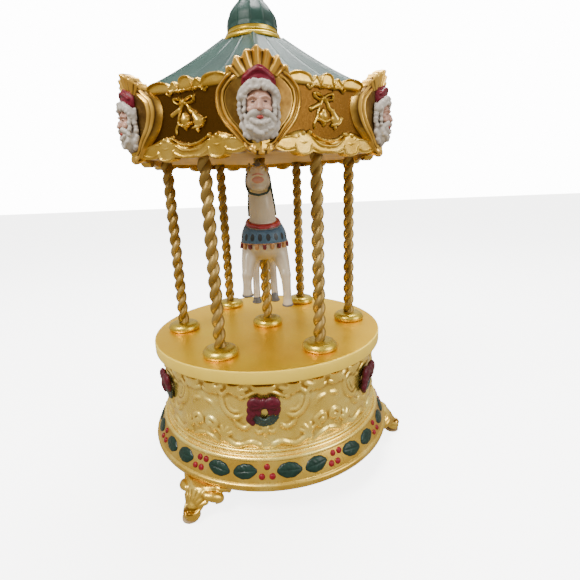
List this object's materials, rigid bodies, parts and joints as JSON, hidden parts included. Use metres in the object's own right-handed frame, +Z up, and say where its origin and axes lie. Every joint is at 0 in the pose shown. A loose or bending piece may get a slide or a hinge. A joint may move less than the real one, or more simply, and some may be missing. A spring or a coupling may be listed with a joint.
{
  "type": "carousel music box",
  "caption": "Wind-up musical carousel: a drum base on feet turns a platform with twisted posts, a crowned canopy and one horse that rises and falls on the centre pole.",
  "frame": {"origin": "on the turning axis, in the plane that the three feet stand on", "axes": "+Z up along the turning axis; -Y is the front, where the holly band has a berry group under a wreath; +X to the right seen from the front"},
  "size_m": [0.1531, 0.1484, 0.258],
  "materials": {
    "gold_cast": "metallic gold paint over cast resin, satin, darker in the recesses",
    "gold_pale": "pale metallic gold paint over cast resin, satin",
    "gold_deck": "warm yellow gold paint on a flat cast disc, satin",
    "gold_metal": "plated gold metal rod, satin",
    "holly_green": "dark green glossy enamel on cast resin",
    "berry_red": "dark red glossy enamel",
    "bow_crimson": "crimson enamel",
    "wreath_green": "dark green enamel",
    "roof_green": "dark green enamel with light streaks",
    "horse_cream": "cream enamel on cast resin, satin",
    "tack_blue": "blue enamel with red and gold edges",
    "bust_white": "white fur and beard, red cap and pink face in enamel",
    "movement_steel": "plain ground steel",
    "movement_brass": "plain brass",
    "movement_zinc": "zinc-plated cast plate",
    "spring_steel": "blued spring steel",
    "cover_board": "black moulded plastic",
    "fan_plastic": "natural nylon",
    "pad_felt": "dark soft pad"
  },
  "bodies": {
    "base": {"base_ring": "gold_cast", "bottom_cover": "cover_board", "cover_screws": "movement_steel", "foot_1": "gold_cast", "foot_2": "gold_cast", "foot_3": "gold_cast", "foot_pads": "pad_felt", "drum_shell": "gold_cast", "holly_leaves": "holly_green", "holly_berries": "berry_red", "wreaths": "wreath_green", "wreath_bows": "bow_crimson", "bedplate": "movement_zinc", "comb_base": "movement_zinc", "comb": "movement_steel", "movement_screws": "movement_steel", "cylinder_brackets": "movement_zinc", "governor_plate": "movement_zinc", "cam_bridge": "movement_zinc", "upper_bush": "movement_brass", "lift_cam": "fan_plastic", "click": "movement_steel"},
    "carousel": {"spring_barrel": "movement_brass", "barrel_cover": "movement_brass", "mainspring": "spring_steel", "drive_tube": "movement_zinc", "platform": "gold_deck", "post_1": "gold_metal", "post_2": "gold_metal", "post_3": "gold_metal", "post_4": "gold_metal", "post_5": "gold_metal", "post_6": "gold_metal", "post_collars": "gold_metal", "ceiling_plate": "gold_pale", "canopy_crown": "gold_cast", "panel_ornaments": "gold_cast", "cartouche_1": "gold_cast", "cartouche_2": "gold_cast", "cartouche_3": "gold_cast", "cartouche_4": "gold_cast", "cartouche_5": "gold_cast", "cartouche_6": "gold_cast", "bearded_heads": "bust_white", "roof": "roof_green", "roof_ring": "gold_cast", "dome": "roof_green", "finial": "gold_cast"},
    "horse_on_pole": {"centre_pole": "gold_metal", "horse": "horse_cream", "horse_tack": "tack_blue", "lift_pin": "movement_steel"},
    "cylinder": {"pin_cylinder": "movement_brass", "cylinder_pinion": "movement_brass", "cylinder_gear": "movement_brass"},
    "governor": {"governor_wheel": "movement_brass"},
    "fan": {"air_brake": "fan_plastic"},
    "key": {"winding_key": "movement_steel", "winding_arbor": "movement_steel", "ratchet_wheel": "movement_steel"}
  },
  "joints": [
    {"name": "carousel_spin", "type": "hinge", "parent": "base", "child": "carousel", "pos_m": [0, 0, 0], "axis": [0, 0, 1], "continuous": true},
    {"name": "horse_lift", "type": "slide", "parent": "carousel", "child": "horse_on_pole", "axis": [0, 0, 1], "range_m": [-0.008, 0]},
    {"name": "cylinder_spin", "type": "hinge", "parent": "base", "child": "cylinder", "pos_m": [0.03, 0, 0.029], "axis": [1, 0, 0], "continuous": true},
    {"name": "governor_spin", "type": "hinge", "parent": "base", "child": "governor", "pos_m": [0.04, -0.01, 0.029], "axis": [1, 0, 0], "continuous": true},
    {"name": "fan_spin", "type": "hinge", "parent": "base", "child": "fan", "pos_m": [0.04, -0.018, 0.029], "axis": [1, 0, 0], "continuous": true},
    {"name": "key_wind", "type": "hinge", "parent": "base", "child": "key", "pos_m": [0, 0, 0.01], "axis": [0, 0, 1], "continuous": true}
  ],
  "couplings": [
    {"joint": "cylinder_spin", "follows": "carousel_spin", "ratio": 4},
    {"joint": "governor_spin", "follows": "carousel_spin", "ratio": -16},
    {"joint": "fan_spin", "follows": "carousel_spin", "ratio": 64}
  ]
}
